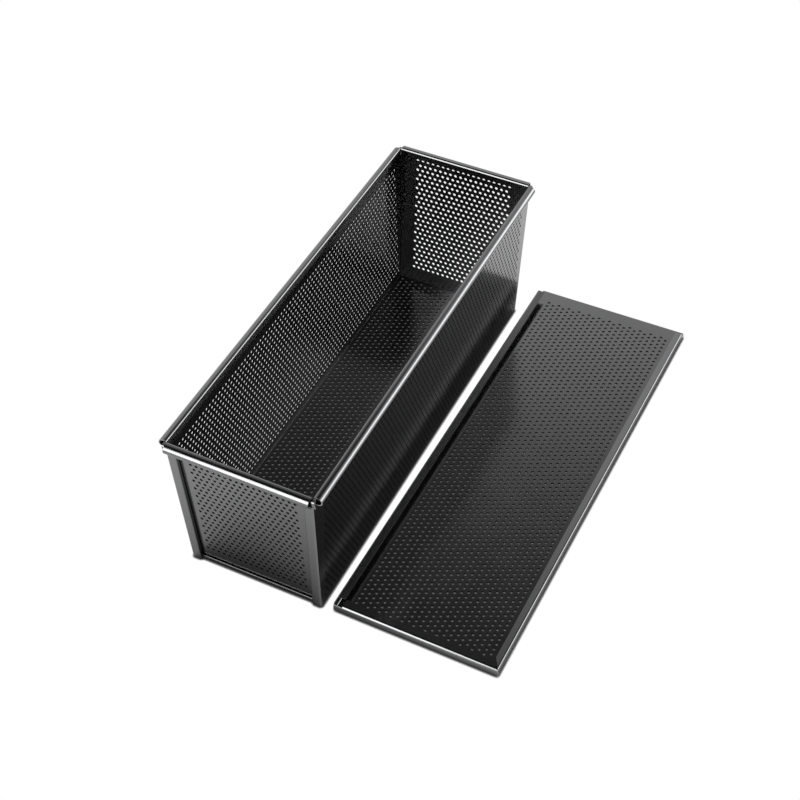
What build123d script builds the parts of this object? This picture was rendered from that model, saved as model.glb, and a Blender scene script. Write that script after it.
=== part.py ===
from build123d import *
import math
import os

# Folded sheet-steel loaf pan with a slide-on lid, in millimetres, Z up.
# The origin is the centre of the pan's underside, and Y runs along the pan.

# The body's sheet and its overall shape, measured over the outer faces
sheet = 0.8
pan_height = 115.2
base_half_width = 47.8
base_half_length = 153.8
side_flare = 2.9
end_flare = 8.8
floor_bend = 1.6
rim_bend = 0.6
seam_gap = 0.1
overrun = 5.0

# The rolled rim: a bead with a half-round outer side along the top of each wall
bead_height = 6.6
side_bead_reach = 4.8
end_bead_reach = 5.3
bead_mouth = 0.6

# The upright strips, turned from the side walls across each end panel
strip_width = 7.0
corner_bend = 1.6
panel_setback = 3.0
hem_return = 3.2

# The tab at the top of each strip, curled in over the corner of the rim wire
nose_bend = 2.8
nose_inset = 5.7
nose_side_gap = 0.5
nose_slot = 0.8

# The low lip that the floor turns up in front of each end panel
lip_height = 3.3
lip_setback = 1.2
lip_bend = 1.1

# The wire in the rim
wire_radius = 0.9
wire_seat = 0.15
wire_corner_radius = 1.5

# The plain grid of round openings that stands for the fine perforation of each sheet
opening_radius = 6.4
openings_along = 12
openings_across = 4
openings_up = 4
panel_openings_across = 3

# The lid, which lies upside-down beside the pan
lid_half_length = 168.0
lid_side_clearance = 0.5
lid_lift_clearance = 0.3
lid_wall_clearance = 0.9
lid_bend = 1.0
lid_end_height = 8.0
lid_end_lip = 4.6
lid_end_bend = 1.8
lid_clip_length = 9.0
lid_notch = 5.4
lid_mitre_spread = 3.2
lid_turn = 0.48
lid_beside_gap = 2.4
lid_along_shift = 14.9

# The walls lean out to the rim; slopes are their outward travel for each unit of height
rim_half_width = base_half_width + side_flare
rim_half_length = base_half_length + end_flare
half_sheet = sheet / 2
bead_radius = bead_height / 2
bead_bottom = pan_height - bead_height
strip_top = bead_bottom - seam_gap
side_slope = side_flare / pan_height
end_slope = end_flare / pan_height
rise = Vector(side_slope, end_slope, 1)

# The sheet's thickness across a leaning wall, measured level
side_level = sheet * math.hypot(1, side_slope)
end_level = sheet * math.hypot(1, end_slope)

# The end panels stand behind the strips; their beads are cut back at the corners
panel_base = base_half_length - panel_setback
panel_rim_inner = rim_half_length - panel_setback - end_level
slot_corner = (rim_half_width - side_level - seam_gap, panel_rim_inner)
slot_end = (rim_half_width - nose_inset, rim_half_length)
lip_half_width = base_half_width - strip_width - seam_gap

# Spacing of the openings
opening_step_along = 2 * base_half_length / openings_along
opening_step_across = 2 * base_half_width / openings_across
opening_step_up = bead_bottom / openings_up
panel_opening_step = 2 * lip_half_width / panel_openings_across


def side_face(height):
    """Distance of a side wall's outer face from the middle of the pan."""
    return base_half_width + side_slope * height


def strip_face(height):
    """Distance of a strip's outer face from the middle of the pan."""
    return base_half_length + end_slope * height


def rolled_edge(rim_face, reach):
    """Roll of a bead: its half-round outer side and the short run to its mouth."""
    centre = (rim_face + reach - bead_radius, pan_height - bead_radius)
    roll = CenterArc(centre, bead_radius - half_sheet, 90, -180)
    Line(roll @ 1, (rim_face + bead_mouth, bead_bottom + half_sheet))


# One upright strip: corner bend, face, and the hem folded back onto the end panel
with BuildPart() as strip:
    with BuildSketch(Plane.XY):
        with BuildLine():
            hem_radius = (panel_setback - seam_gap - side_level) / 2
            hem_place = base_half_width - strip_width + hem_radius + side_level / 2
            strip_middle = base_half_length - side_level / 2
            wall_middle = base_half_width - side_level / 2
            FilletPolyline(
                (wall_middle, strip_middle - corner_bend - side_level / 2),
                (wall_middle, strip_middle),
                (hem_place, strip_middle),
                radius=corner_bend,
            )
            hem = CenterArc((hem_place, strip_middle - hem_radius), hem_radius, 90, 180)
            Line(hem @ 1, (hem_place + hem_return, strip_middle - 2 * hem_radius))
        trace(line_width=side_level)
    extrude(amount=strip_top * rise.length, dir=rise)

# One tab: the strip's sheet carried up and curled in, level with the rim
with BuildPart() as nose:
    with BuildSketch(Plane.YZ.offset(slot_end[0] + nose_slot)):
        with BuildLine():
            leaf = side_level / math.hypot(1, end_slope)
            top_middle = pan_height - leaf / 2
            FilletPolyline(
                (strip_face(strip_top) - side_level / 2, strip_top),
                (strip_face(top_middle) - side_level / 2, top_middle),
                (panel_rim_inner, top_middle),
                radius=nose_bend,
            )
        trace(line_width=leaf)
    extrude(amount=nose_inset - nose_slot - nose_side_gap)
    with BuildSketch(Plane.XY.offset(strip_top)):
        with BuildLine():
            Polyline(
                (slot_corner[0] + nose_slot, slot_corner[1]),
                (slot_end[0] + nose_slot, slot_end[1]),
                (slot_end[0] - overrun, slot_end[1]),
                (slot_end[0] - overrun, slot_corner[1] - overrun),
                (slot_corner[0] + nose_slot, slot_corner[1] - overrun),
                close=True,
            )
        make_face()
    extrude(amount=bead_height + overrun, mode=Mode.SUBTRACT)

# The trough: floor, two long walls with their beads, end lips and strips
with BuildPart() as trough:
    with BuildSketch(Plane.XZ):
        with BuildLine():
            top_middle = pan_height - half_sheet
            FilletPolyline(
                (0, half_sheet),
                (side_face(half_sheet) - side_level / 2, half_sheet),
                (side_face(top_middle) - side_level / 2, top_middle),
                (rim_half_width + side_bead_reach - bead_radius, top_middle),
                radius=[floor_bend, rim_bend],
            )
            rolled_edge(rim_half_width, side_bead_reach)
        trace(line_width=sheet)
        mirror(about=Plane.YZ)
    extrude(amount=rim_half_length, both=True)
    for end in (1, -1):
        wall_end = base_half_length - corner_bend - side_level / 2
        split(
            bisect_by=Plane((0, end * wall_end, 0), x_dir=(1, 0, 0), z_dir=(0, end, -end_slope)),
            keep=Keep.BOTTOM,
        )
    bead_room = (2 * (rim_half_width + side_bead_reach + overrun), 2 * overrun, bead_height + overrun)
    for end in (1, -1):
        with Locations((0, end * (panel_rim_inner + overrun), strip_top + bead_room[2] / 2)):
            Box(*bead_room, mode=Mode.SUBTRACT)
        with Locations((0, end * (panel_base + overrun), 0)):
            Box(2 * lip_half_width, 2 * overrun, 2 * lip_height, mode=Mode.SUBTRACT)
    with BuildSketch(Plane.YZ):
        with BuildLine():
            lip_middle = base_half_length - lip_setback - half_sheet
            FilletPolyline(
                (panel_base, half_sheet),
                (lip_middle, half_sheet),
                (lip_middle, lip_height),
                radius=lip_bend,
            )
        trace(line_width=sheet)
        mirror(about=Plane.YZ)
    extrude(amount=lip_half_width, both=True)
    with BuildSketch(Plane.YZ):
        with Locations((0, bead_bottom / 2)):
            with GridLocations(opening_step_along, opening_step_up, openings_along, openings_up):
                Circle(opening_radius)
    extrude(amount=rim_half_width + overrun, both=True, mode=Mode.SUBTRACT)
    with BuildSketch(Plane.XY):
        with GridLocations(opening_step_across, opening_step_along, openings_across, openings_along):
            Circle(opening_radius)
    extrude(amount=overrun, both=True, mode=Mode.SUBTRACT)
    for corner in (strip, nose):
        add(corner.part)
        add(mirror(corner.part, about=Plane.YZ, mode=Mode.PRIVATE))
        add(mirror(corner.part, about=Plane.XZ, mode=Mode.PRIVATE))
        add(
            mirror(
                mirror(corner.part, about=Plane.YZ, mode=Mode.PRIVATE),
                about=Plane.XZ,
                mode=Mode.PRIVATE,
            )
        )
trough.part.label = "trough"

# One end panel: the leaning sheet, its bead, and the side edges that the strips close over
panel_foot = sheet + seam_gap
with BuildPart() as far_panel:
    with BuildSketch(Plane.YZ):
        with BuildLine():
            top_middle = pan_height - half_sheet
            panel_middle = panel_base - end_level / 2
            panel_rim = rim_half_length - panel_setback
            FilletPolyline(
                (panel_middle + end_slope * panel_foot, panel_foot),
                (panel_middle + end_slope * top_middle, top_middle),
                (panel_rim + end_bead_reach - bead_radius, top_middle),
                radius=rim_bend,
            )
            rolled_edge(panel_rim, end_bead_reach)
        trace(line_width=sheet)
    extrude(amount=rim_half_width, both=True)
    panel_edge = base_half_width - side_level - seam_gap
    for side in (1, -1):
        split(
            bisect_by=Plane((side * panel_edge, 0, 0), x_dir=(0, 1, 0), z_dir=(side, 0, -side_slope)),
            keep=Keep.BOTTOM,
        )
    with BuildSketch(Plane.XY.offset(strip_top)):
        with BuildLine():
            Polyline(
                slot_corner,
                slot_end,
                (slot_end[0], slot_end[1] + overrun),
                (slot_corner[0] + overrun, slot_end[1] + overrun),
                (slot_corner[0] + overrun, slot_corner[1]),
                close=True,
            )
        make_face()
        mirror(about=Plane.YZ)
    extrude(amount=bead_height + overrun, mode=Mode.SUBTRACT)
    with BuildSketch(Plane.XZ):
        with Locations((0, bead_bottom / 2)):
            with GridLocations(panel_opening_step, opening_step_up, panel_openings_across, openings_up):
                Circle(opening_radius)
    extrude(amount=-(rim_half_length + overrun), mode=Mode.SUBTRACT)
    with BuildSketch(Plane.XY.offset(panel_foot)):
        edge_out = strip_face(panel_foot) - corner_bend - side_level / 2
        edge_in = panel_middle + end_slope * panel_foot
        with Locations((panel_edge + side_slope * panel_foot, edge_in)):
            Rectangle(sheet, edge_out - edge_in, align=(Align.MAX, Align.MIN))
    flange = extrude(amount=(strip_top - panel_foot) * rise.length, dir=rise)
    mirror(flange, about=Plane.YZ)
    bend_room = floor_bend + half_sheet
    for side in (1, -1):
        with Locations((side * base_half_width, panel_base, 0)):
            Box(2 * bend_room, 2 * panel_setback, 2 * bend_room, mode=Mode.SUBTRACT)
far_panel.part.label = "far_end_panel"

with BuildPart() as near_panel:
    add(mirror(far_panel.part, about=Plane.XZ, mode=Mode.PRIVATE))
near_panel.part.label = "near_end_panel"

# The wire: one closed loop inside the four beads, against the walls
with BuildPart() as rim_wire:
    wire_level = pan_height - bead_radius
    wire_x = rim_half_width + wire_seat + wire_radius
    wire_y = strip_face(wire_level) - side_level - wire_seat - wire_radius
    with BuildLine(Plane.XY.offset(wire_level)) as wire_path:
        FilletPolyline(
            (wire_x, -wire_y),
            (wire_x, wire_y),
            (-wire_x, wire_y),
            (-wire_x, -wire_y),
            radius=wire_corner_radius,
            close=True,
        )
    with BuildSketch(Plane(wire_path.line @ 0, z_dir=wire_path.line % 0)):
        Circle(wire_radius)
    sweep(path=wire_path.line)
rim_wire.part.label = "rim_wire"

# The lid: a flat sheet with a channel along each side and a stop across its near end
lid_half_width = rim_half_width + side_bead_reach + lid_side_clearance + sheet
lid_height = bead_height + lid_lift_clearance + 2 * sheet
lid_lip = lid_half_width - rim_half_width - lid_wall_clearance
lid_place = rim_half_width + side_bead_reach + lid_beside_gap + lid_half_width
turn = math.radians(lid_turn)
lid_plan = Plane((lid_place, lid_along_shift, 0), x_dir=(math.cos(turn), -math.sin(turn), 0))
lid_across = Plane(lid_plan.origin, x_dir=lid_plan.x_dir, z_dir=-lid_plan.y_dir)
lid_along = Plane(lid_plan.origin, x_dir=lid_plan.y_dir, z_dir=lid_plan.x_dir)

with BuildPart() as lid:
    with BuildSketch(lid_across):
        with BuildLine():
            FilletPolyline(
                (0, half_sheet),
                (lid_half_width - half_sheet, half_sheet),
                (lid_half_width - half_sheet, lid_height - half_sheet),
                (lid_half_width - lid_lip, lid_height - half_sheet),
                radius=lid_bend,
            )
        trace(line_width=sheet)
        mirror(about=Plane.YZ)
    extrude(amount=lid_half_length, both=True)
    with BuildSketch(lid_along):
        with BuildLine():
            FilletPolyline(
                (-lid_half_length + lid_end_lip, half_sheet),
                (-lid_half_length + half_sheet, half_sheet),
                (-lid_half_length + half_sheet, lid_end_height - half_sheet),
                (-lid_half_length + lid_end_lip, lid_end_height - half_sheet),
                radius=lid_end_bend,
            )
        trace(line_width=sheet)
    extrude(amount=lid_half_width, both=True)
    with BuildSketch(lid_along):
        with BuildLine():
            end_outer = lid_end_bend + half_sheet
            Polyline(
                (-lid_half_length, end_outer),
                (-lid_half_length + end_outer, 0),
                (lid_half_length, 0),
                (lid_half_length, sheet),
                (lid_half_length - lid_clip_length, lid_height),
                (-lid_half_length, lid_height),
                close=True,
            )
        make_face()
        with Locations((-lid_half_length + end_outer, end_outer)):
            Circle(end_outer)
    extrude(amount=lid_half_width + overrun, both=True, mode=Mode.INTERSECT)
    with BuildSketch(lid_plan):
        lid_step_across = 2 * lid_half_width / openings_across
        lid_step_along = 2 * lid_half_length / openings_along
        with GridLocations(lid_step_across, lid_step_along, openings_across, openings_along):
            Circle(opening_radius)
    extrude(amount=overrun, both=True, mode=Mode.SUBTRACT)
    with BuildSketch(lid_plan.offset(lid_height - lid_lift_clearance - sheet - half_sheet)):
        with Locations((-lid_half_width + sheet, -lid_half_length + sheet)):
            Rectangle(lid_notch, lid_notch, align=(Align.MIN, Align.MIN))
    extrude(amount=lid_height, mode=Mode.SUBTRACT)
    with BuildSketch(lid_plan.offset(sheet + lid_bend + half_sheet)):
        with BuildLine():
            mitre = lid_lip + lid_mitre_spread
            Polyline(
                (lid_half_width - half_sheet, -lid_half_length + half_sheet),
                (lid_half_width - lid_lip, -lid_half_length + mitre),
                (lid_half_width - mitre, -lid_half_length + mitre),
                (lid_half_width - mitre, -lid_half_length + lid_end_lip),
                close=True,
            )
        make_face()
    extrude(amount=lid_height, mode=Mode.SUBTRACT)
lid.part.label = "lid"

os.makedirs("parts", exist_ok=True)
export_step(trough.part, "parts/trough.step")
export_step(far_panel.part, "parts/far_end_panel.step")
export_step(near_panel.part, "parts/near_end_panel.step")
export_step(rim_wire.part, "parts/rim_wire.step")
export_step(lid.part, "parts/lid.step")
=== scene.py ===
import logging
import math
from dataclasses import dataclass, replace
from enum import Enum
from typing import Callable

import bmesh
import bpy
import numpy as np
from mathutils import Matrix, Vector


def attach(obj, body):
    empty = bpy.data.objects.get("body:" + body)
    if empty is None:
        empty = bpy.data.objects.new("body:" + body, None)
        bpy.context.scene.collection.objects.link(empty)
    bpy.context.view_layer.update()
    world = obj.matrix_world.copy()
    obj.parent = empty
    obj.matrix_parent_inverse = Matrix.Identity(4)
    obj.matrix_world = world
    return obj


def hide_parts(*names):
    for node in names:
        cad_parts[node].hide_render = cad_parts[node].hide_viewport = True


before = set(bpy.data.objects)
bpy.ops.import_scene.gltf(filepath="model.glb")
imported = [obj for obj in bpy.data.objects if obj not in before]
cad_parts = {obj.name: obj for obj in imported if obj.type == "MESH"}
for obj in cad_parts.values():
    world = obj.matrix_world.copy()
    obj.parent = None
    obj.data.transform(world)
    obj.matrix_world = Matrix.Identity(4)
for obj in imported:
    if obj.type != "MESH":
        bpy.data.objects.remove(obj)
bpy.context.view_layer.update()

log = logging.getLogger("loaf_pan")

MM = 0.001
# beside each bend a sheet gets a station this far into the flat part, which keeps that flat
HOLD = 0.25 * MM
# places and lengths nearer than these are one, and corners on this grid weld
SAME_PLACE = 1e-7
SAME_RUN = 1e-8
WELD = 2e-7
# a bend has a station at least this often, and an edge sharper than a crease isn't smoothed
BEND_STEP = math.radians(11)
CREASE = math.radians(38)

Array = np.ndarray
Point = tuple[float, float]
Spot = tuple[float, float, float]
Places = tuple[Array, Array, Array]
# the two ends of a sheet's edge for a place in its cross-section
Span = Callable[[float, float], Point]
# the first and last length of a stretch of sheet, and its width rule
Course = tuple[float, float, Span]
# X, Y and Z for the length along a profile, the profile's first axis, the other flat axis and
# the profile's second axis
Placing = Callable[[Array, Array, Array, Array], Places]


class Side(Enum):
    """The two long sides of the pan, by the sign of X."""

    LEFT = -1
    RIGHT = 1


class End(Enum):
    """The two ends of the pan, by the sign of Y."""

    NEAR = -1
    FAR = 1


def add_object(name: str, data: bpy.types.ID) -> bpy.types.Object:
    """Adds an object to the scene.

    Args:
        name: its name.
        data: its mesh, lamp or camera.

    Returns:
        The object.
    """
    thing = bpy.data.objects.new(name, data)
    bpy.context.scene.collection.objects.link(thing)
    return thing


# ---------------------------------------------------------------- materials


class Value:
    """A number in a node tree, with arithmetic that adds Math nodes."""

    def __init__(self, nodes: "Nodes", socket: bpy.types.NodeSocket) -> None:
        """Wraps one output socket."""
        self.nodes, self.socket = nodes, socket

    def _math(self, operation: str, *values: "Value | float") -> "Value":
        """Adds a Math node.

        Args:
            operation: the node's operation.
            *values: the numbers that it works on.

        Returns:
            The node's result.
        """
        inputs = {f"i{number}": value for number, value in enumerate(values)}
        return self.nodes.value(self.nodes.node("ShaderNodeMath", {"operation": operation}, **inputs))

    def __add__(self, other: "Value | float") -> "Value":
        """Sum."""
        return self._math("ADD", self, other)

    def __radd__(self, other: float) -> "Value":
        """Sum with a number in front."""
        return self._math("ADD", other, self)

    def __sub__(self, other: "Value | float") -> "Value":
        """Difference."""
        return self._math("SUBTRACT", self, other)

    def __rsub__(self, other: float) -> "Value":
        """Difference with a number in front."""
        return self._math("SUBTRACT", other, self)

    def __mul__(self, other: "Value | float") -> "Value":
        """Product."""
        return self._math("MULTIPLY", self, other)

    def __rmul__(self, other: float) -> "Value":
        """Product with a number in front."""
        return self._math("MULTIPLY", other, self)

    def __truediv__(self, other: "Value | float") -> "Value":
        """Quotient."""
        return self._math("DIVIDE", self, other)

    def __rtruediv__(self, other: float) -> "Value":
        """Quotient with a number in front."""
        return self._math("DIVIDE", other, self)

    def floor(self) -> "Value":
        """Returns the whole number below it."""
        return self._math("FLOOR", self)

    def above(self, limit: "Value | float") -> "Value":
        """Returns 1 where it's above a limit and 0 elsewhere."""
        return self._math("GREATER_THAN", self, limit)


class Nodes:
    """A node tree, with one method that adds any node."""

    def __init__(self, tree: bpy.types.NodeTree) -> None:
        """Empties a tree and keeps it."""
        self.tree = tree
        tree.nodes.clear()

    def node(self, kind: str, settings: dict | None = None, **inputs: object) -> bpy.types.Node:
        """Adds a node.

        Args:
            kind: the node's type.
            settings: its properties, set first; "stops" is a colour ramp's list of stops.
            **inputs: its sockets, by name with _ for a space or as i and a number, each with
                a plain value, an output or a node, whose first output is meant.

        Returns:
            The node.
        """
        node = self.tree.nodes.new(kind)
        for name, setting in (settings or {}).items():
            if name == "stops":
                ramp = node.color_ramp.elements
                while len(ramp) < len(setting):
                    ramp.new(0.5)
                for element, (place, grey) in zip(ramp, setting):
                    element.position = place
                    element.color = (grey, grey, grey, 1.0)
            else:
                setattr(node, name, setting)
        for name, value in inputs.items():
            socket = node.inputs[int(name[1:]) if name[1:].isdigit() else name.replace("_", " ")]
            if isinstance(value, Value):
                value = value.socket
            elif isinstance(value, bpy.types.Node):
                value = value.outputs[0]
            if isinstance(value, bpy.types.NodeSocket):
                self.tree.links.new(value, socket)
            else:
                socket.default_value = value
        return node

    def value(self, node: bpy.types.Node, name: str | int = 0) -> Value:
        """Returns one of a node's outputs as a value for arithmetic."""
        return Value(self, node.outputs[name])

    def mixed(self, factor: Value, first: Spot, second: Spot) -> bpy.types.NodeSocket:
        """Mixes two colours.

        Args:
            factor: 0 for the first colour and 1 for the second.
            first: the first colour, linear RGB.
            second: the second colour, linear RGB.

        Returns:
            The mixed colour.
        """
        colours = {"i6": (*first, 1.0), "i7": (*second, 1.0)}
        return self.node("ShaderNodeMix", {"data_type": "RGBA"}, i0=factor, **colours).outputs[2]

    def rays(self, *kinds: str) -> Value:
        """Returns 1 for rays of the named kinds and 0 for all others."""
        path = self.node("ShaderNodeLightPath")
        return sum(self.value(path, kind) for kind in kinds)

    def seen(self, lighting: bpy.types.Node, sight: bpy.types.Node) -> bpy.types.Node:
        """Gives a surface one shader for its light and one for its sight.

        Args:
            lighting: the shader that lights what's around.
            sight: the shader that the camera sees, also in metal and through glass.

        Returns:
            The mix of both.
        """
        rays = self.rays("Is Camera Ray", "Is Glossy Ray", "Is Transmission Ray")
        return self.node("ShaderNodeMixShader", i0=rays, i1=lighting, i2=sight)


def new_material(name: str) -> tuple[bpy.types.Material, Nodes]:
    """Adds a material.

    Args:
        name: its name.

    Returns:
        The material and its empty nodes.
    """
    material = bpy.data.materials.new(name)
    material.use_nodes = True
    return material, Nodes(material.node_tree)


@dataclass(frozen=True)
class Finish:
    """One surface finish: a dark coating, bare steel, or the near-black painted shade on the holes'
    walls, with its grain.

    The colours are linear RGB; the grain, its depth and the clouds are in metres.
    """

    name: str
    dark: Spot
    light: Spot
    roughness: float
    roughness_spread: float
    metallic: float
    grain: float
    cloud: float
    grain_depth: float = 0.01 * MM
    grain_share: float = 0.4

    def material(self) -> bpy.types.Material:
        """Makes the finish's material.

        Returns:
            The material.
        """
        material, nodes = new_material(self.name)
        place = nodes.node("ShaderNodeTexCoord").outputs["Object"]
        fine, broad = (
            nodes.value(
                nodes.node(
                    "ShaderNodeTexNoise",
                    Vector=place, Scale=1 / size, Detail=detail, Roughness=roughness,
                )
            )
            for size, detail, roughness in ((self.grain, 3.0, 0.6), (self.cloud, 4.0, 0.55))
        )
        share = fine * self.grain_share + broad * (1 - self.grain_share)
        spread = (broad - 0.5) * (2 * self.roughness_spread) + (fine - 0.5) * self.roughness_spread
        surface = nodes.node(
            "ShaderNodeBsdfPrincipled",
            Base_Color=nodes.mixed(share, self.dark, self.light),
            Roughness=self.roughness + spread,
            Metallic=self.metallic,
            Normal=nodes.node(
                "ShaderNodeBump", Height=fine, Strength=1.0, Distance=self.grain_depth
            ),
        )
        nodes.node("ShaderNodeOutputMaterial", Surface=surface)
        return material


COATING = Finish(
    name="non_stick_coating",
    dark=(0.163, 0.164, 0.167),
    light=(0.207, 0.208, 0.212),
    roughness=0.18,
    roughness_spread=0.03,
    metallic=1.0,
    grain=0.7 * MM,
    cloud=28 * MM,
)
# painted shade: the holes' walls are the same coating in truth, drawn near-black and dull so that the
# holes look dark
PAINTED_HOLE_SHADE = Finish(
    name="painted_shade_hole_wall",
    dark=(0.003, 0.003, 0.003),
    light=(0.008, 0.008, 0.008),
    roughness=0.70,
    roughness_spread=0.05,
    metallic=1.0,
    grain=0.5 * MM,
    cloud=20 * MM,
)
CUT_EDGE = Finish(
    name="cut_sheet_edge",
    dark=(0.24, 0.24, 0.245),
    light=(0.44, 0.44, 0.45),
    roughness=0.36,
    roughness_spread=0.08,
    metallic=0.95,
    grain=0.5 * MM,
    cloud=4 * MM,
)
WIRE = Finish(
    name="drawn_steel_wire",
    dark=(0.045, 0.045, 0.047),
    light=(0.090, 0.090, 0.094),
    roughness=0.40,
    roughness_spread=0.10,
    metallic=0.8,
    grain=0.6 * MM,
    cloud=6 * MM,
    grain_depth=0.02 * MM,
)


# ---------------------------------------------------------------- folded sheet


@dataclass(frozen=True)
class Holes:
    """A staggered field of round holes on a flat part of a sheet, in metres.

    The rows run along the second flat axis. Every second row is half a pitch over,
    and has one hole less, unless full is set.
    """

    columns: int
    rows: int
    pitch: float
    row_pitch: float
    first: Point
    radius: float
    full: bool = False
    sides: int = 12

    def bands(self) -> list["Holes"]:
        """Splits the field into pairs of rows, which fill fast.

        Returns:
            The pairs, in order.
        """
        pairs = []
        for row in range(0, self.rows, 2):
            first = (self.first[0] + row * self.row_pitch, self.first[1])
            pairs.append(replace(self, rows=min(2, self.rows - row), first=first))
        return pairs


class Perforator:
    """The Geometry Nodes tree that cuts a field of holes into one flat outline."""

    INPUTS = {
        "NodeSocketGeometry": ("Geometry",),
        "NodeSocketInt": ("Columns", "Rows", "Hole Sides", "Short Rows"),
        "NodeSocketFloat": ("Pitch", "Row Pitch", "First X", "First Y", "Hole Radius"),
        "NodeSocketMaterial": ("Coating",),
    }

    def __init__(self, coating: bpy.types.Material) -> None:
        """Builds the tree once.

        Args:
            coating: the material that the tree sets.
        """
        self.coating = coating
        self.tree = bpy.data.node_groups.new("perforated_sheet", "GeometryNodeTree")
        new_socket = self.tree.interface.new_socket
        self.keys = {
            name: new_socket(name, in_out="INPUT", socket_type=kind).identifier
            for kind, names in self.INPUTS.items()
            for name in names
        }
        new_socket("Geometry", in_out="OUTPUT", socket_type="NodeSocketGeometry")
        self._build(Nodes(self.tree))

    def _build(self, nodes: Nodes) -> None:
        """Builds the nodes: a lattice of circles, joined to the outline, then filled.

        Args:
            nodes: the tree's nodes.
        """
        group = nodes.node("NodeGroupInput")
        columns, rows, short_rows, pitch, row_pitch, first_x, first_y = (
            nodes.value(group, name)
            for name in ("Columns", "Rows", "Short Rows", "Pitch", "Row Pitch", "First X", "First Y")
        )
        number = nodes.value(nodes.node("GeometryNodeInputIndex"))
        row = (number / columns).floor()
        column = number - row * columns
        odd = row - (row / 2).floor() * 2
        place = nodes.node(
            "ShaderNodeCombineXYZ",
            X=(column + odd * 0.5) * pitch + first_x, Y=row * row_pitch + first_y,
        )
        points = nodes.node("GeometryNodePoints", Count=columns * rows, Position=place)
        spare = column.above(columns - 1.5) * odd * short_rows
        kept = nodes.node(
            "GeometryNodeDeleteGeometry", {"domain": "POINT"},
            Geometry=points, Selection=spare.above(0.5),
        )
        circle = nodes.node(
            "GeometryNodeCurvePrimitiveCircle",
            Resolution=group.outputs["Hole Sides"], Radius=group.outputs["Hole Radius"],
        )
        circles = nodes.node("GeometryNodeInstanceOnPoints", Points=kept, Instance=circle)
        real = nodes.node("GeometryNodeRealizeInstances", Geometry=circles)
        outline = nodes.node("GeometryNodeMeshToCurve", Mesh=group.outputs["Geometry"])
        joined = nodes.node("GeometryNodeJoinGeometry", Geometry=real)
        nodes.tree.links.new(outline.outputs[0], joined.inputs[0])
        filled = nodes.node("GeometryNodeFillCurve", Curve=joined)
        plate = nodes.node("GeometryNodeRealizeInstances", Geometry=filled)
        dressed = nodes.node(
            "GeometryNodeSetMaterial", Geometry=plate, Material=group.outputs["Coating"]
        )
        nodes.node("NodeGroupOutput", Geometry=dressed)

    def cut(self, outline: list[Point], holes: Holes) -> tuple[Array, Array]:
        """Cuts the holes into an outline.

        Args:
            outline: the flat part's corners in order, in metres.
            holes: the field of holes.

        Returns:
            The corners as an N by 2 array, and the triangles as an M by 3 array of their numbers.
        """
        mesh = bpy.data.meshes.new("outline")
        ring = [(number, (number + 1) % len(outline)) for number in range(len(outline))]
        mesh.from_pydata([(v, u, 0.0) for u, v in outline], ring, [])
        blank = add_object("outline", mesh)
        modifier = blank.modifiers.new("perforate", "NODES")
        modifier.node_group = self.tree
        for name, value in (
            ("Columns", holes.columns), ("Rows", holes.rows), ("Hole Sides", holes.sides),
            ("Short Rows", 0 if holes.full else 1), ("Pitch", holes.pitch),
            ("Row Pitch", holes.row_pitch), ("First X", holes.first[1]),
            ("First Y", holes.first[0]), ("Hole Radius", holes.radius), ("Coating", self.coating),
        ):
            modifier[self.keys[name]] = value
        graph = bpy.context.evaluated_depsgraph_get()
        plate = bpy.data.meshes.new_from_object(blank.evaluated_get(graph))
        blank.modifiers.remove(modifier)
        places = np.zeros(len(plate.vertices) * 3)
        plate.vertices.foreach_get("co", places)
        loops = np.zeros(len(plate.loops), dtype=np.int64)
        plate.loops.foreach_get("vertex_index", loops)
        bpy.data.objects.remove(blank)
        bpy.data.meshes.remove(mesh)
        bpy.data.meshes.remove(plate)
        return places.reshape(-1, 3)[:, 1::-1], loops.reshape(-1, 3)


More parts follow.
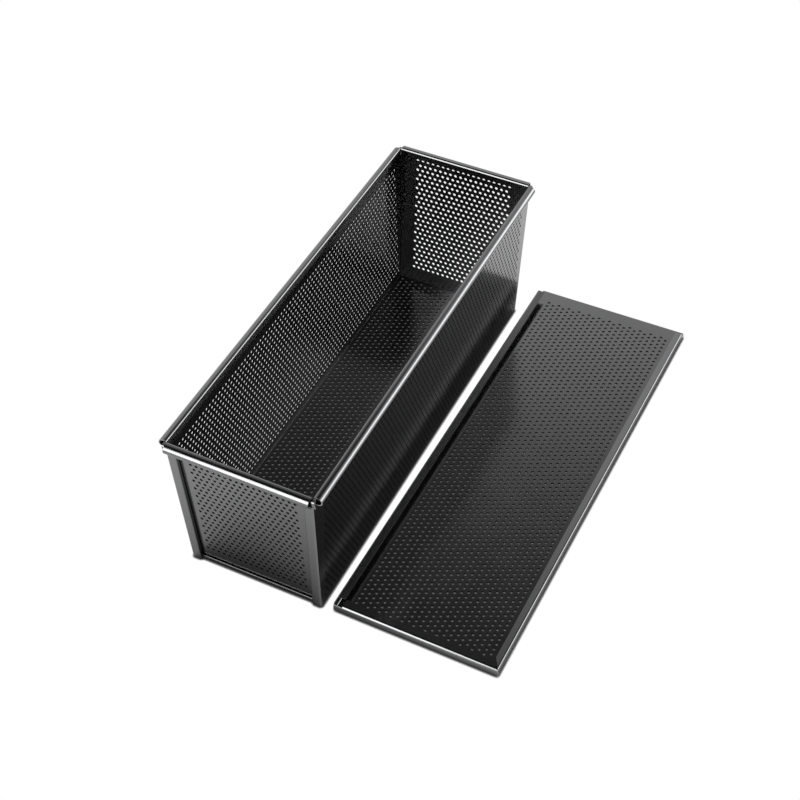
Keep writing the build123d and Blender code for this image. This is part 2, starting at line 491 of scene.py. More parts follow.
class Profile:
    """A sheet's cross-section: the line midway through it, straight runs joined by bends."""

    def __init__(self, corners: list[Point], radii: list[float]) -> None:
        """Rounds the corners and notes a station at each step of the line.

        Args:
            corners: the line's corners, in metres.
            radii: one radius for each inner corner, in metres.
        """
        line = [Vector(corner) for corner in corners]
        stations = [(line[0], self._left(line[1] - line[0]))]
        for before, corner, after, radius in zip(line, line[1:], line[2:], radii):
            way_in, way_out = (corner - before).normalized(), (after - corner).normalized()
            turn = math.atan2(way_in.x * way_out.y - way_in.y * way_out.x, way_in.dot(way_out))
            start = corner - way_in * (radius * math.tan(abs(turn) / 2))
            steps = max(4, math.ceil(abs(turn) / BEND_STEP))
            arm = math.copysign(radius, turn)
            centre = start + self._left(way_in) * arm
            for number in range(steps + 1):
                normal = self._turned(self._left(way_in), turn * number / steps)
                stations.append((centre - normal * arm, normal))
        stations.append((line[-1], self._left(line[-1] - line[-2])))
        self._settle(stations)

    @staticmethod
    def _left(way: Vector) -> Vector:
        """Returns the unit vector to the left of a direction."""
        way = way.normalized()
        return Vector((-way.y, way.x))

    @staticmethod
    def _turned(way: Vector, angle: float) -> Vector:
        """Returns a 2-D vector turned by an angle."""
        cos, sin = math.cos(angle), math.sin(angle)
        return Vector((way.x * cos - way.y * sin, way.x * sin + way.y * cos))

    @staticmethod
    def _between(run: Array, runs: Array, rows: Array) -> Array:
        """Returns the rows' values at lengths that lie between theirs."""
        return np.stack([np.interp(run, runs, rows[:, axis]) for axis in (0, 1)], axis=1)

    def _settle(self, stations: list[tuple[Vector, Vector]]) -> None:
        """Drops doubled stations, adds holding ones beside the bends, and keeps the arrays.

        Args:
            stations: each station's place and the normal to its left.
        """
        kept = stations[:1]
        for station in stations[1:]:
            if (station[0] - kept[-1][0]).length > SAME_PLACE:
                kept.append(station)
        points, normals = (np.array([list(vector) for vector in row]) for row in zip(*kept))
        runs = np.concatenate([[0], np.cumsum(np.hypot(*np.diff(points, axis=0).T))])
        more = [
            run
            for start, stop in zip(runs, runs[1:])
            if stop - start > 4 * HOLD
            for run in (start + HOLD, stop - HOLD)
        ]
        self.runs = np.unique(np.round(np.concatenate([runs, more]), 9))
        self.points = self._between(self.runs, runs, points)
        blended = self._between(self.runs, runs, normals)
        self.normals = blended / np.linalg.norm(blended, axis=1)[:, None]

    @property
    def length(self) -> float:
        """The line's whole length."""
        return float(self.runs[-1])

    def at(self, run: Array, lift: float) -> Array:
        """Places points of the flat sheet on the bent one.

        Args:
            run: lengths along the line.
            lift: their distance from the mid-line, to its left.

        Returns:
            An N by 2 array of places in the cross-section.
        """
        normal = self._between(run, self.runs, self.normals)
        return self._between(run, self.runs, self.points) + normal * lift

    def run_at(self, axis: int, value: float, low: float = 0.0) -> float:
        """Finds where the line crosses a value of one axis.

        Args:
            axis: 0 or 1.
            value: the place on that axis.
            low: length from which to look.

        Returns:
            The length along the line.
        """
        values = self.points[:, axis]
        for start, stop, first, second in zip(self.runs, self.runs[1:], values, values[1:]):
            if stop > low and (first - value) * (second - value) <= 0 and first != second:
                return float(start + (stop - start) * (value - first) / (second - first))
        raise ValueError(f"the profile doesn't reach {value} on axis {axis}")


class Faces:
    """Polygons, as one list of corner numbers with the size of each face."""

    def __init__(self, loops: Array, sizes: Array) -> None:
        """Keeps the lists and notes where each face starts and whose each corner is.

        Args:
            loops: the corner numbers, face by face.
            sizes: how many corners each face has.
        """
        self.loops, self.sizes = loops, sizes
        self.starts = np.concatenate([[0], np.cumsum(sizes)[:-1]])
        self.owner = np.repeat(np.arange(len(sizes)), sizes)

    @property
    def following(self) -> Array:
        """The corners that follow round the faces.

        Returns:
            For each corner of each face the number of the next one.
        """
        following = np.roll(self.loops, -1)
        following[self.starts + self.sizes - 1] = self.loops[self.starts]
        return following

    def turned(self, chosen: Array | None = None) -> "Faces":
        """Turns faces round.

        Args:
            chosen: true for each face to turn; left out, all of them turn.

        Returns:
            The faces, with the chosen ones' order reversed.
        """
        mirrored = (2 * self.starts + self.sizes - 1)[self.owner] - np.arange(len(self.loops))
        back = self.loops[mirrored]
        if chosen is not None:
            back = np.where(chosen[self.owner], back, self.loops)
        return Faces(back, self.sizes)

    def areas(self, corners: Array) -> Array:
        """Returns twice the signed area of each face on flat corners."""
        a, b = corners[self.loops], corners[self.following]
        return np.add.reduceat(a[:, 0] * b[:, 1] - a[:, 1] * b[:, 0], self.starts)

    def volume(self, places: Array) -> float:
        """Returns six times the signed volume inside the faces."""
        anchor = places[self.loops[self.starts]][self.owner]
        return float((anchor * np.cross(places[self.loops], places[self.following])).sum())


class Blank:
    """A sheet laid flat, made of polygons whose shared corners weld, with its holes."""

    def __init__(
        self,
        profile: Profile,
        courses: list[Course],
        perforator: Perforator | None = None,
        holes: Holes | None = None,
    ) -> None:
        """Lays the profile's courses flat, one polygon between each two stations.

        Args:
            profile: the cross-section.
            courses: the stretches of sheet, in order.
            perforator: cuts the holes.
            holes: the field of holes, on a flat part.
        """
        self.profile = profile
        self.corners: list[Array] = []
        self.on_hole: list[Array] = []
        self.faces: list[list[int]] = []
        self.count = 0
        bands = holes.bands() if holes else []
        seams = [band.first[0] - band.row_pitch / 2 for band in bands[1:]]
        stations = self._stations(courses, seams)
        for (run, before, span), (next_run, next_span, after) in zip(stations, stations[1:]):
            outline = [(run, v) for v in self._edge(span, before)]
            outline += [(next_run, v) for v in reversed(self._edge(next_span, after))]
            inside = [band for band in bands if run < band.first[0] < next_run]
            if not inside:
                self._add(np.array(outline), [list(range(len(outline)))], len(outline))
                continue
            places, triangles = perforator.cut(outline, inside[0])
            gaps = np.abs(places[:, None, :] - np.array(outline)[None, :, :]).sum(axis=2).min(axis=1)
            order = np.argsort(gaps > SAME_PLACE, kind="stable")
            faces = np.argsort(order)[triangles].tolist()
            self._add(places[order], faces, int((gaps <= SAME_PLACE).sum()))

    def _stations(
        self, courses: list[Course], seams: list[float]
    ) -> list[tuple[float, Point, Point]]:
        """Lists the lengths at which an edge runs across the sheet.

        Args:
            courses: the stretches of sheet, in order.
            seams: the lengths between the bands of holes.

        Returns:
            Each length, with the edge's ends before it and after it.
        """
        stations: list[tuple[float, Point, Point]] = []
        for start, stop, rule in courses:
            low, high = start + SAME_RUN, stop - SAME_RUN
            inner = sorted(run for run in [*self.profile.runs, *seams] if low < run < high)
            for run in [start, *inner, stop]:
                place = self.profile.at(np.array([run]), 0.0)[0]
                span = rule(float(place[0]), float(place[1]))
                if stations and abs(stations[-1][0] - run) < SAME_RUN:
                    stations[-1] = (run, stations[-1][1], span)
                else:
                    stations.append((run, span, span))
        return stations

    @staticmethod
    def _edge(span: Point, other: Point) -> list[float]:
        """Returns an edge's ends, with the neighbour's corners that lie on it."""
        values = {round(value, 9) for value in (*span, *other) if span[0] <= value <= span[1]}
        return sorted(values)

    def _add(self, places: Array, faces: list[list[int]], outline: int) -> None:
        """Adds a patch.

        Args:
            places: its corners, N by 2.
            faces: lists of corner numbers.
            outline: how many of the first corners aren't on a hole; the rest are.
        """
        self.corners.append(places)
        self.on_hole.append(np.arange(len(places)) >= outline)
        self.faces += [[corner + self.count for corner in face] for face in faces]
        self.count += len(places)

    def shell(self, name: str, place: Placing, thickness: float) -> bpy.types.Mesh:
        """Bends the flat sheet and gives it its thickness.

        Args:
            name: the mesh's name.
            place: gives the points of the bent sheet their places.
            thickness: the sheet's thickness.

        Returns:
            A closed mesh; slot 0 is the coating, slot 1 the cut edge and slot 2 the holes' walls,
            which carry painted shade.
        """
        corners, on_hole = np.concatenate(self.corners), np.concatenate(self.on_hole)
        _, first, weld = np.unique(
            np.round(corners / WELD).astype(np.int64), axis=0, return_index=True, return_inverse=True
        )
        corners, on_hole = corners[first], on_hole[first]
        sizes = np.array([len(face) for face in self.faces])
        flat = Faces(weld.reshape(-1)[np.concatenate(self.faces)], sizes)
        flat = flat.turned(flat.areas(corners) < 0)
        count = len(corners)
        # an edge with no face on its other side gets a face across the sheet's thickness
        lone = ~np.isin(flat.following * count + flat.loops, flat.loops * count + flat.following)
        start, stop = flat.loops[lone], flat.following[lone]
        rim = np.stack([start, start + count, stop + count, stop], axis=1)
        whole = Faces(
            np.concatenate([flat.loops, flat.turned().loops + count, rim.reshape(-1)]),
            np.concatenate([sizes, sizes, np.full(len(rim), 4)]),
        )
        slots = np.where(on_hole[start] & on_hole[stop], 2, 1)
        skins = []
        for lift in (thickness / 2, -thickness / 2):
            section = self.profile.at(corners[:, 0], lift)
            placed = place(corners[:, 0], section[:, 0], corners[:, 1], section[:, 1])
            skins.append(np.stack(placed, axis=1))
        places = np.concatenate(skins)
        if whole.volume(places) < 0:
            whole = whole.turned()
        mesh = bpy.data.meshes.new(name)
        mesh.vertices.add(len(places))
        mesh.loops.add(len(whole.loops))
        mesh.polygons.add(len(whole.sizes))
        mesh.vertices.foreach_set("co", places.reshape(-1))
        mesh.loops.foreach_set("vertex_index", whole.loops.astype(np.int32))
        mesh.polygons.foreach_set("loop_start", whole.starts.astype(np.int32))
        slots = np.concatenate([np.zeros(2 * len(sizes)), slots])
        mesh.polygons.foreach_set("material_index", slots.astype(np.int32))
        mesh.update(calc_edges=True)
        return mesh


# ---------------------------------------------------------------- the pan


def both_ways(reach: float) -> Point:
    """Returns the ends of an edge that reaches as far on both sides of the middle."""
    return -reach, reach


@dataclass(frozen=True)
class PanSizes:
    """The sizes that the pan's sheets share, in metres.

    The sheets are drawn as a skin inside the CAD sheet. The real pan leans a little to the
    right towards its near end, where its side beads are wider too: wall_lean and rim_lean are
    how far the walls' tops and the beads lean there, and near_swell is the beads' extra share.
    """

    sheet: float = 0.8 * MM
    skin: float = 0.6 * MM
    height: float = 115.2 * MM
    base_half_width: float = 47.8 * MM
    base_half_length: float = 153.8 * MM
    side_flare: float = 2.9 * MM
    end_flare: float = 8.8 * MM
    bead_height: float = 6.6 * MM
    side_reach: float = 4.8 * MM
    end_reach: float = 5.3 * MM
    strip_width: float = 7.0 * MM
    corner_bend: float = 1.0 * MM
    rim_bend: float = 1.2 * MM
    setback: float = 3.0 * MM
    gap: float = 0.1 * MM
    nose_inset: float = 1.4 * MM
    hole_pitch: float = 4.0 * MM
    row_pitch: float = 3.989 * MM
    hole_radius: float = 1.1 * MM
    wall_lean: float = 1.6 * MM
    rim_lean: float = 0.6 * MM
    near_swell: float = 0.12

    @property
    def half(self) -> float:
        """Half the sheet's thickness."""
        return self.sheet / 2

    @property
    def top(self) -> float:
        """Height of the mid-line along the top of the rim."""
        return self.height - self.half

    @property
    def roll(self) -> float:
        """Radius of the mid-line round a bead's outer side."""
        return self.bead_height / 2 - self.half

    @property
    def strip_top(self) -> float:
        """Height at which the strips end, just below the beads."""
        return self.height - self.bead_height - self.gap

    @property
    def side_slope(self) -> float:
        """A long wall's outward travel for each unit of height."""
        return self.side_flare / self.height

    @property
    def end_slope(self) -> float:
        """An end's outward travel for each unit of height."""
        return self.end_flare / self.height

    @property
    def rim_half_width(self) -> float:
        """Half the width at the rim, without the beads."""
        return self.base_half_width + self.side_flare

    @property
    def rim_half_length(self) -> float:
        """Half the length at the rim, without the beads."""
        return self.base_half_length + self.end_flare

    @property
    def panel_rim_inner(self) -> float:
        """Inner face of an end panel at the rim."""
        return self.rim_half_length - self.setback - self.sheet

    def bead(self, rim: float, reach: float, mouth: float) -> list[Point]:
        """Lists the outer corners of a bead's profile.

        Args:
            rim: the sheet's outer face at the rim.
            reach: how far the bead stands out from it.
            mouth: how far from it the bead's free edge stops.

        Returns:
            The corners, from the top round to the free edge.
        """
        outer = rim + reach - self.half
        lower = self.height - self.bead_height + self.half
        return [(outer, self.top), (outer, lower), (rim + mouth, lower)]

    def mesh(self, columns: int, rows: int, row_pitch: float, first: float) -> Holes:
        """Sets out a field of holes about the middle of a sheet.

        Args:
            columns: how many holes its longer rows have.
            rows: how many rows it has.
            row_pitch: the spacing of the rows.
            first: the first row's length along the profile.

        Returns:
            The field.
        """
        start = -(columns - 1) / 2 * self.hole_pitch
        return Holes(columns, rows, self.hole_pitch, row_pitch, (first, start), self.hole_radius)

    def nearness(self, along: Array) -> Array:
        """Returns 1 at the pan's near end and 0 at its far end."""
        return np.clip(0.5 - along / (2 * self.rim_half_length), 0.0, 1.0)

    def lean(self, along: Array, height: Array, on_bead: Array | bool = False) -> Array:
        """Gives how far the pan leans to the right.

        Args:
            along: places along the pan.
            height: heights above the table.
            on_bead: true for places on a bead, which leans as a whole.

        Returns:
            The distances.
        """
        heights, leans = [0.0, self.strip_top, self.height], [0.0, self.wall_lean, self.rim_lean]
        height = np.where(on_bead, self.height, height)
        return self.nearness(along) * np.interp(height, heights, leans)

    def corner_cut(self, along: float) -> float:
        """Gives half the width of an end's bead at the mitred corner.

        Args:
            along: the place along the pan, from its middle.

        Returns:
            Half the width there.
        """
        start, stop = self.panel_rim_inner, self.rim_half_length
        wide = self.rim_half_width - self.sheet - self.gap
        narrow = self.rim_half_width - self.nose_inset
        share = min(max((along - start) / (stop - start), 0.0), 1.0)
        return wide + (narrow - wide) * share

    def upright(self, side: Side, end: End) -> Placing:
        """Gives the placing of a sheet whose profile is its plan, at one corner of the pan.

        Args:
            side: the corner's side.
            end: the corner's end.

        Returns:
            The placing, which leans the sheet outward both ways.
        """

        def place(run: Array, across: Array, height: Array, along: Array) -> Places:
            """Leans the points of the sheet outward and to the right.

            Args:
                run: lengths along the plan's line.
                across: places across the pan at the floor.
                height: heights above the table.
                along: places along the pan at the floor.

            Returns:
                X, Y and Z.
            """
            along = (along + self.end_slope * height) * end.value
            across = (across + self.side_slope * height) * side.value
            return across + self.lean(along, height), along, height

        return place


@dataclass
class SheetWork:
    """A sub-assembly of bent sheet, with what it's made from."""

    sizes: PanSizes
    perforator: Perforator
    materials: list[bpy.types.Material]

    def finish(self, name: str, body: str, node: str, shells: list[bpy.types.Mesh]) -> None:
        """Joins closed shells to one piece and hands it to the frame.

        Args:
            name: the piece's name.
            body: the CAD body that it rides on.
            node: the CAD node that it stands in for.
            shells: its shells, whose slots are in the order of the materials.
        """
        whole = bmesh.new()
        for shell in shells:
            whole.from_mesh(shell)
            bpy.data.meshes.remove(shell)
        mesh = bpy.data.meshes.new(name)
        whole.to_mesh(mesh)
        whole.free()
        mesh.polygons.foreach_set("use_smooth", [True] * len(mesh.polygons))
        mesh.set_sharp_from_angle(angle=CREASE)
        for material in self.materials:
            mesh.materials.append(material)
        piece = add_object(name, mesh)
        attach(piece, body)
        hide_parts(node)
        mesh.calc_loop_triangles()
        log.info("%s: %d triangles", name, len(mesh.loop_triangles))


@dataclass
class Trough(SheetWork):
    """The sheet that makes the floor, the long walls, their beads and the corner strips.

    The floor's sheet ends at the split, and the walls' sheets lap over it. The floor's skin
    is a little thinner than theirs, so that no two faces share a plane.
    """

    columns: int = 75
    wall_rows: int = 25
    floor_rows: int = 23
    lowest_row: float = 7.1 * MM
    split: float = 45.5 * MM
    overlap: float = 0.35 * MM
    floor_thinning: float = 0.04 * MM
    floor_bend: float = 0.6 * MM
    mouth: float = 0.6 * MM
    hem_bend: float = 0.5 * MM
    hem_return: float = 3.2 * MM
    relief_radius: float = 0.6 * MM
    relief_inset: float = 0.69 * MM
    relief_drop: float = 1.1 * MM
    nose_bend: float = 1.0 * MM
    nose_drop: float = 1.1 * MM
    nose_overhang: float = 1.2 * MM
    nose_slot: float = 0.7 * MM
    nose_gap: float = 0.36 * MM
    lip_height: float = 3.3 * MM
    lip_setback: float = 1.2 * MM
    lip_bend: float = 1.1 * MM

    def wall(self, side: Side) -> None:
        """Builds one long wall with its bead and its bend into the floor.

        Args:
            side: the wall's side.
        """
        s = self.sizes
        face = s.base_half_width - s.half
        corners = [
            (self.split - self.overlap, s.half),
            (face + s.side_slope * s.half, s.half),
            (face + s.side_slope * s.top, s.top),
            *s.bead(s.rim_half_width, s.side_reach, self.mouth),
        ]
        profile = Profile(corners, [self.floor_bend, s.rim_bend, s.roll, s.roll])
        step = profile.run_at(1, s.strip_top)
        rim = profile.run_at(1, s.top - s.rim_bend)
        foot = s.base_half_length - s.corner_bend - s.half
        courses = [
            (0, step, lambda across, height: both_ways(foot + s.end_slope * height)),
            (step, profile.length, lambda across, height: both_ways(s.panel_rim_inner)),
        ]
        first = profile.run_at(1, self.lowest_row)
        holes = s.mesh(self.columns, self.wall_rows, s.row_pitch, first)

        def place(run: Array, across: Array, along: Array, height: Array) -> Places:
            """Leans the wall and widens its bead towards the near end."""
            swell = s.near_swell * s.nearness(along) * np.maximum(across - s.rim_half_width, 0)
            return (across + swell) * side.value + s.lean(along, height, run >= rim), along, height

        shell = Blank(profile, courses, self.perforator, holes).shell("wall", place, s.skin)
        self.finish(f"trough_{side.name.lower()}_wall", "pan", "trough", [shell])

    def floor(self) -> None:
        """Builds the floor with the low lip at each end."""
        s = self.sizes
        lip = s.base_half_length - self.lip_setback - s.half
        seam = lip - self.lip_bend - HOLD
        narrow = s.base_half_width - s.strip_width - s.gap
        flat = Profile([(-self.split, s.half), (self.split, s.half)], [])
        first = self.split - (self.floor_rows - 1) / 2 * s.hole_pitch
        holes = s.mesh(self.columns, self.floor_rows, s.hole_pitch, first)
        courses = [(0, flat.length, lambda across, height: both_ways(seam))]
        floor = Blank(flat, courses, self.perforator, holes)
        thickness = s.skin - self.floor_thinning
        shells = [floor.shell("floor", lambda run, *place: place, thickness)]
        turned = Profile([(seam, s.half), (lip, s.half), (lip, self.lip_height)], [self.lip_bend])
        turned_lip = Blank(turned, [(0, turned.length, lambda along, height: both_ways(narrow))])
        for end in End:

            def place(run: Array, along: Array, across: Array, height: Array) -> Places:
                """Sets the lip at its end."""
                return across, along * end.value, height

            shells.append(turned_lip.shell("lip", place, s.skin))
        self.finish("trough_floor", "pan", "trough", shells)

    def strips(self) -> None:
        """Builds the four upright strips, each with its hem and the curled tab at its top."""
        parts = (self._strip, self._nose)
        shells = [part(side, end) for side in Side for end in End for part in parts]
        self.finish("trough_corner_strips", "pan", "trough", shells)

    def _strip(self, side: Side, end: End) -> bpy.types.Mesh:
        """Builds one strip: corner bend, face and folded hem, with a small relief hole.

        Args:
            side: its side.
            end: its end.

        Returns:
            The closed shell.
        """
        s = self.sizes
        outer = s.base_half_width - s.half
        middle = s.base_half_length - s.half
        hem = (s.setback - s.gap - s.sheet) / 2
        fold = s.base_half_width - s.strip_width + s.half
        corners = [
            (outer, middle - s.corner_bend),
            (outer, middle),
            (fold, middle),
            (fold, middle - 2 * hem),
            (fold + hem + self.hem_return, middle - 2 * hem),
        ]
        profile = Profile(corners, [s.corner_bend, self.hem_bend, self.hem_bend])
        place = (
            profile.run_at(0, outer - s.corner_bend - self.relief_inset),
            s.strip_top - self.relief_drop,
        )
        relief = Holes(1, 1, s.hole_pitch, s.hole_pitch, place, self.relief_radius)
        courses = [(0, profile.length, lambda across, along: (0.0, s.strip_top))]
        blank = Blank(profile, courses, self.perforator, relief)
        return blank.shell("strip", s.upright(side, end), s.skin)

    def _nose(self, side: Side, end: End) -> bpy.types.Mesh:
        """Builds the tab that carries one strip up and in over the corner.

        Args:
            side: its side.
            end: its end.

        Returns:
            The closed shell.
        """
        s = self.sizes
        top = s.top - self.nose_drop
        face = s.base_half_length - s.half
        corners = [
            (face + s.end_slope * s.strip_top, s.strip_top),
            (face + s.end_slope * top, top),
            (s.panel_rim_inner + self.nose_gap, top),
        ]
        profile = Profile(corners, [self.nose_bend])
        outer = s.rim_half_width + self.nose_overhang
        inner = s.rim_half_width - s.nose_inset

        def width(along: float, height: float) -> Point:
            """Keeps the tab's slot beside the end's bead."""
            return max(inner, s.corner_cut(along)) + self.nose_slot, outer

        def place(run: Array, along: Array, across: Array, height: Array) -> Places:
            """Sets the tab at its corner."""
            along = along * end.value
            return across * side.value + s.lean(along, height), along, height

        return Blank(profile, [(0, profile.length, width)]).shell("nose", place, s.skin)

    def build(self) -> None:
        """Builds every piece of the trough."""
        for side in Side:
            self.wall(side)
        self.floor()
        self.strips()


@dataclass
class EndPanel(SheetWork):
    """One leaning end sheet with its own bead and its turned side edges."""

    end: End
    columns: int = 19
    rows: int = 25
    lowest_row: float = 13.4 * MM
    mouth: float = 1.6 * MM
    foot: float = 0.9 * MM

    def build(self) -> None:
        """Builds the panel, the near one in the CAD sheet's full thickness."""
        s = self.sizes
        base = s.base_half_length - s.setback - s.half
        edge = s.base_half_width - s.sheet - s.gap
        corners = [
            (base + s.end_slope * self.foot, self.foot),
            (base + s.end_slope * s.top, s.top),
            *s.bead(s.rim_half_length - s.setback, s.end_reach, self.mouth),
        ]
        profile = Profile(corners, [s.rim_bend, s.roll, s.roll])
        step = profile.run_at(1, s.strip_top)
        rim = profile.run_at(1, s.top - s.rim_bend)
        first = profile.run_at(1, self.lowest_row)
        holes = s.mesh(self.columns, self.rows, s.row_pitch, first)

        def above(along: float, height: float) -> Point:
            """Narrows the bead at the mitred corners."""
            return both_ways(min(edge + s.side_slope * height, s.corner_cut(along)))

        def place(run: Array, along: Array, across: Array, height: Array) -> Places:
            """Leans the panel with the pan."""
            along = along * self.end.value
            return across + s.lean(along, height, run >= rim), along, height

        courses = [
            (0, step, lambda along, height: both_ways(edge + s.side_slope * height)),
            (step, profile.length, above),
        ]
        blank = Blank(profile, courses, self.perforator, holes)
        end = self.end.name.lower()
        shells = [blank.shell("panel", place, s.sheet if self.end is End.NEAR else s.skin)]
        shells += [self._flange(side, base) for side in Side]
        self.finish(f"{end}_end_sheet", "pan", f"{end}_end_panel", shells)

    def _flange(self, side: Side, base: float) -> bpy.types.Mesh:
        """Builds a side edge that's turned out along the long wall.

        Args:
            side: its side.
            base: the panel's mid-line at the floor.

        Returns:
            The closed shell.
        """
        s = self.sizes
        middle = s.base_half_width - s.sheet - s.gap - s.half
        reach = s.base_half_length - s.corner_bend - s.half
        profile = Profile([(middle, base + s.half), (middle, reach)], [])
        courses = [(0, profile.length, lambda across, along: (self.foot, s.strip_top))]
        return Blank(profile, courses).shell("flange", s.upright(side, self.end), s.skin)


@dataclass
class Lid(SheetWork):
    """The flat lid, upside-down: a channel along each side and a stop across its near end.

    Its far end is a little out of square, by the skew. The flat sheet and the near stop meet
    at a seam beside the stop's bend. The lips' own width rules start lip_step and end_step
    below the lips' level.
    """

    half_width: float = 57.0 * MM
    half_length: float = 168.0 * MM
    height: float = 7.9 * MM
    lip: float = 5.2 * MM
    lip_fall: float = 0.6 * MM
    lip_step: float = 0.1 * MM
    bend: float = 0.8 * MM
    end_height: float = 6.2 * MM
    end_lip: float = 7.0 * MM
    end_bend: float = 1.6 * MM
    end_step: float = 0.7 * MM
    foot_bend: float = 0.7 * MM
    seam_reach: float = 0.3 * MM
    clip: float = 9.0 * MM
    relief: float = 3.0 * MM
    notch: float = 5.4 * MM
    mitre: float = 8.4 * MM
    centre: Point = (113.25 * MM, 15.5 * MM)
    turn: float = math.radians(0.38)
    skew: float = 0.018
    columns: int = 78
    rows: int = 24
    hole_pitch: float = 4.0702 * MM
    row_pitch: float = 4.04 * MM
    last_hole: float = 156.85 * MM

    def _world(self, across: Array, along: Array, height: Array) -> Places:
        """Places points of the lid on the table beside the pan.

        Args:
            across: places across the lid, from its middle.
            along: places along the lid, from its middle.
            height: heights above the table.

        Returns:
            X, Y and Z.
        """
        cos, sin = math.cos(self.turn), math.sin(self.turn)
        share = np.clip(along / (2 * self.half_length) + 0.5, 0.0, 1.0)
        along = along + self.skew * (across - self.half_width) * share
        x = self.centre[0] + across * cos + along * sin
        return x, self.centre[1] - across * sin + along * cos, height

    @property
    def seam(self) -> float:
        """Place along the lid at which the flat sheet and the near stop meet."""
        return -self.half_length + self.sizes.half + self.foot_bend + self.seam_reach

    def _near(self, height: float) -> float:
        """Gives where a side channel starts, behind the near stop and its bend.

        Args:
            height: the height above the table.

        Returns:
            The place along the lid.
        """
        half = self.sizes.half
        centre = self.foot_bend + half
        if height >= centre:
            return -self.half_length + self.sizes.sheet
        out = math.sqrt(max((self.foot_bend - half) ** 2 - (centre - height) ** 2, 0.0))
        return min(self.seam, -self.half_length + centre - out)

    def _far(self, height: float) -> float:
        """Gives where a side channel ends at the open end, clipped aslant.

        Args:
            height: the height above the table.

        Returns:
            The place along the lid.
        """
        sheet = self.sizes.sheet
        share = max(height - sheet, 0.0) / (self.height - sheet)
        return self.half_length - self.relief - (self.clip - self.relief) * share

    def build(self) -> None:
        """Builds the lid."""
        self.finish("lid_sheet", "lid", "lid", [self._tray(), self._near_end()])

    def _tray(self) -> bpy.types.Mesh:
        """Builds the flat sheet with its two side channels.

        Returns:
            The closed shell.
        """
        s = self.sizes
        side = self.half_width - s.half
        top = self.height - s.half
        inner = self.half_width - self.lip
        free = top - self.lip_fall
        corners = [
            (-inner, free), (-side, top), (-side, s.half), (side, s.half), (side, top), (inner, free)
        ]
        profile = Profile(corners, [self.bend] * 4)
        lip_level = free - self.lip_step
        wall, behind_stop = -self.half_length + s.half, -self.half_length + s.sheet
        slope = (self.mitre - s.half) / (self.lip - s.half)

        def channel(across: float, height: float) -> Point:
            """Runs a channel's wall from the near stop to the open end."""
            return self._near(height), self._far(height)

        def lip(near: float, height: float) -> Point:
            """Starts a lip further back than the wall below it, for its notch or mitre."""
            return near if height > lip_level else self._near(height), self._far(height)

        def right_lip(across: float, height: float) -> Point:
            """Cuts the right lip's mitre."""
            return lip(max(wall + (side - across) * slope, behind_stop), height)

        # the flat sheet starts a holding station inside each side's bend
        flat = side - self.bend - HOLD
        flat_left = profile.run_at(0, -flat, low=self.height)
        flat_right = profile.run_at(0, flat)
        left_step = profile.run_at(1, lip_level)
        right_step = profile.run_at(1, lip_level, low=flat_right)
        courses = [
            (0, left_step, lambda across, height: lip(behind_stop + self.notch, height)),
            (left_step, flat_left, channel),
            (flat_left, flat_right, lambda across, height: (self.seam, self.half_length)),
            (flat_right, right_step, channel),
            (right_step, profile.length, right_lip),
        ]
        first = (profile.run_at(0, -(self.rows - 1) / 2 * self.row_pitch), self.last_hole)
        holes = Holes(
            self.columns, self.rows, -self.hole_pitch, self.row_pitch, first, s.hole_radius, full=True
        )

        def place(run: Array, across: Array, along: Array, height: Array) -> Places:
            """Lays the sheet on the table."""
            return self._world(across, along, height)

        return Blank(profile, courses, self.perforator, holes).shell("tray", place, s.skin)

    def _near_end(self) -> bpy.types.Mesh:
        """Builds the stop across the near end.

        Returns:
            The closed shell.
        """
        s = self.sizes
        wall = -self.half_length + s.half
        top = self.end_height - s.half
        corners = [
            (-self.half_length + self.end_lip, top), (wall, top), (wall, s.half), (self.seam, s.half)
        ]
        profile = Profile(corners, [self.end_bend, self.foot_bend])
        wide = self.half_width
        narrow = wide - s.half - self.bend - HOLD
        slope = (self.mitre - s.half) / (self.end_lip - s.half)

        def lower(along: float, height: float) -> Point:
            """Widens the stop from the flat sheet's width to the lid's."""
            share = min(max((height - s.half) / self.foot_bend, 0.0), 1.0)
            return both_ways(narrow + (wide - narrow) * share)

        def upper(along: float, height: float) -> Point:
            """Cuts the stop's lip at the left notch and the right mitre."""
            return -wide + s.sheet + self.notch, wide - max(along - wall, 0.0) * slope

        def place(run: Array, along: Array, across: Array, height: Array) -> Places:
            """Lays the stop on the table."""
            return self._world(across, along, height)

        step = profile.run_at(1, top - self.end_step)
        courses = [(0, step, upper), (step, profile.length, lower)]
        return Blank(profile, courses).shell("near_end", place, s.skin)


# ---------------------------------------------------------------- the set


@dataclass(frozen=True)
class Lamp:
    """A soft lamp, in metres; its brightness is what a mirror would show, where 1 is white."""

    name: str
    place: Spot
    target: Spot
    size: Point
    brightness: float

    def build(self) -> None:
        """Hangs the lamp."""
        light = bpy.data.lights.new(self.name, "AREA")
        light.shape = "RECTANGLE"
        light.size, light.size_y = self.size
        light.energy = self.brightness * math.pi * self.size[0] * self.size[1]
        lamp = add_object(self.name, light)
        lamp.location = self.place
        way = Vector(self.target) - Vector(self.place)
        lamp.rotation_euler = way.to_track_quat("-Z", "Y").to_euler()


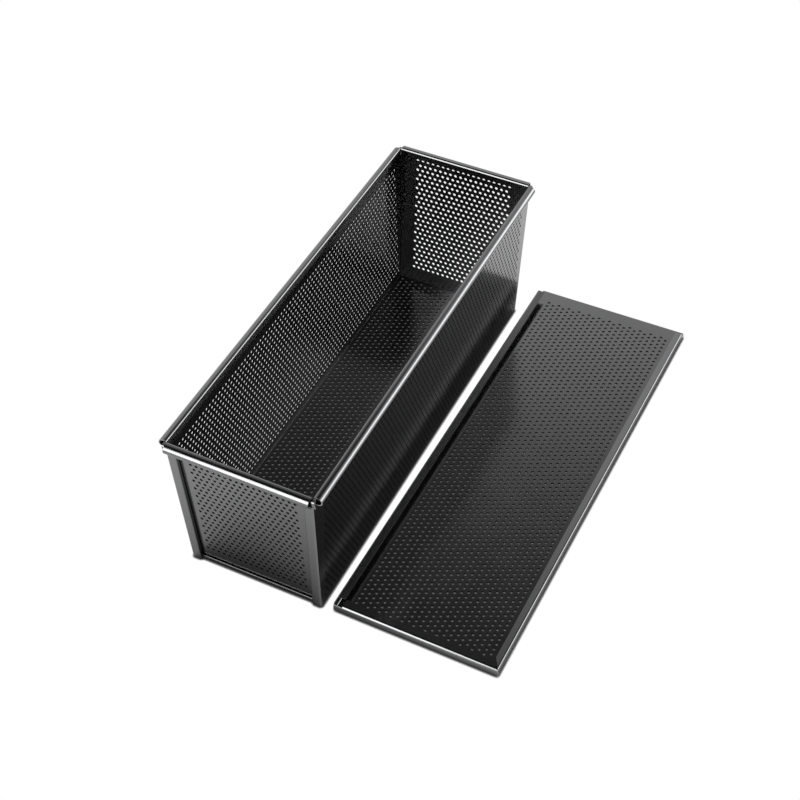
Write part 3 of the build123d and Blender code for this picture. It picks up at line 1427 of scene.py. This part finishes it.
@dataclass
class Studio:
    """The pale floor, the surroundings, the lamps and the camera.

    The floor's shade and the sky are lists of stops: a share of open sky or of height, and
    the brightness there.
    """

    floor_half: float = 4.0
    floor_level: float = -0.3 * MM
    pale: tuple[float, float, float, float] = (0.8, 0.8, 0.8, 1.0)
    close_reach: float = 2 * MM
    close_shade: tuple[Point, ...] = ((0.3, 0.0), (0.5, 0.08), (0.68, 0.13), (0.8, 0.5), (0.9, 1.0))
    broad_reach: float = 100 * MM
    broad_shade: tuple[Point, ...] = ((0.46, 0.03), (0.6, 0.25), (0.78, 0.58), (0.95, 1.0))
    sky: tuple[Point, ...] = ((0.0, 1.0), (0.66, 1.0), (0.735, 0.36), (0.785, 0.04), (1.0, 0.01))
    ambient: float = 0.6
    camera_place: Spot = (0.36761, -0.67115, 0.81998)
    heading: float = math.radians(26.890)
    elevation: float = math.radians(46.148)
    roll: float = math.radians(-0.775)
    lens: float = 71.83
    lamps: tuple[Lamp, ...] = (
        Lamp("front_lamp", (-0.56, -1.42, 0.92), (0.0, -0.16, 0.11), (0.75, 1.7), 5.0),
        Lamp("side_lamp", (1.35, 1.33, 0.58), (0.05, 0.0, 0.11), (1.7, 1.0), 3.8),
    )

    def floor(self) -> None:
        """Lays the floor, which the camera sees white but for the object's shadow."""
        h = self.floor_half
        mesh = bpy.data.meshes.new("floor")
        corners = [(x, y, self.floor_level) for x, y in ((-h, -h), (h, -h), (h, h), (-h, h))]
        mesh.from_pydata(corners, [], [(0, 1, 2, 3)])
        floor = add_object("floor", mesh)
        material, nodes = new_material("pale_floor")
        close = self._shade(nodes, self.close_reach, self.close_shade)
        broad = self._shade(nodes, self.broad_reach, self.broad_shade)
        level = broad + nodes.rays("Is Camera Ray") * (close - broad)
        white = nodes.node("ShaderNodeEmission", Strength=level)
        pale = nodes.node("ShaderNodeBsdfDiffuse", Color=self.pale)
        nodes.node("ShaderNodeOutputMaterial", Surface=nodes.seen(pale, white))
        mesh.materials.append(material)

    @staticmethod
    def _shade(nodes: Nodes, reach: float, stops: tuple[Point, ...]) -> Value:
        """Gives the floor's brightness near the object.

        Args:
            nodes: the floor's nodes.
            reach: how far the object's shade reaches, in metres.
            stops: brightness for each share of open sky.

        Returns:
            The brightness.
        """
        open_sky = nodes.node("ShaderNodeAmbientOcclusion", {"samples": 8}, Distance=reach)
        shade = nodes.node("ShaderNodeValToRGB", {"stops": stops}, Fac=open_sky.outputs["AO"])
        return nodes.value(nodes.node("ShaderNodeRGBToBW", Color=shade))

    def surroundings(self) -> None:
        """Sets the sky: white near the horizon and dimmer overhead."""
        world = bpy.data.worlds.new("studio")
        bpy.context.scene.world = world
        world.use_nodes = True
        nodes = Nodes(world.node_tree)
        way = nodes.node("ShaderNodeTexCoord").outputs["Generated"]
        height = nodes.node("ShaderNodeSeparateXYZ", Vector=way).outputs["Z"]
        sky = nodes.node("ShaderNodeValToRGB", {"stops": self.sky}, Fac=height)
        sight = nodes.node("ShaderNodeBackground", Color=sky, Strength=1.0)
        ambient = nodes.node("ShaderNodeBackground", Color=self.pale, Strength=self.ambient)
        nodes.node("ShaderNodeOutputWorld", Surface=nodes.seen(ambient, sight))

    def camera(self) -> None:
        """Sets up the camera where the photograph was taken from."""
        data = bpy.data.cameras.new("camera")
        data.sensor_width = 36.0
        data.lens = self.lens
        data.clip_end = 50.0
        camera = add_object("camera", data)
        turned = (
            Matrix.Rotation(self.heading, 4, "Z")
            @ Matrix.Rotation(math.pi / 2 - self.elevation, 4, "X")
            @ Matrix.Rotation(self.roll, 4, "Z")
        )
        camera.matrix_world = Matrix.Translation(self.camera_place) @ turned
        bpy.context.scene.camera = camera

    def build(self) -> None:
        """Builds the set."""
        self.floor()
        self.surroundings()
        for lamp in self.lamps:
            lamp.build()
        self.camera()
        bpy.context.scene.view_settings.view_transform = "Standard"


def dress(node: str, material: bpy.types.Material) -> None:
    """Gives a CAD node that stays in sight its material.

    Args:
        node: the node's name.
        material: the material.
    """
    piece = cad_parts[node]
    piece.data.materials.clear()
    piece.data.materials.append(material)
    log.info("%s: CAD node dressed", node)


def main() -> None:
    """Builds the pan, the lid and the set."""
    logging.basicConfig(level=logging.INFO, format="%(name)s: %(message)s")
    coating, wire = COATING.material(), WIRE.material()
    perforator = Perforator(coating)
    sizes = PanSizes()
    # the third material is painted shade, a near-black stand-in for the coating on the holes' walls
    materials = [coating, CUT_EDGE.material(), PAINTED_HOLE_SHADE.material()]
    Trough(sizes, perforator, materials).build()
    for end in End:
        EndPanel(sizes, perforator, materials, end).build()
    dress("rim_wire", wire)
    Lid(sizes, perforator, materials).build()
    Studio().build()


if __name__ == "__main__":
    main()
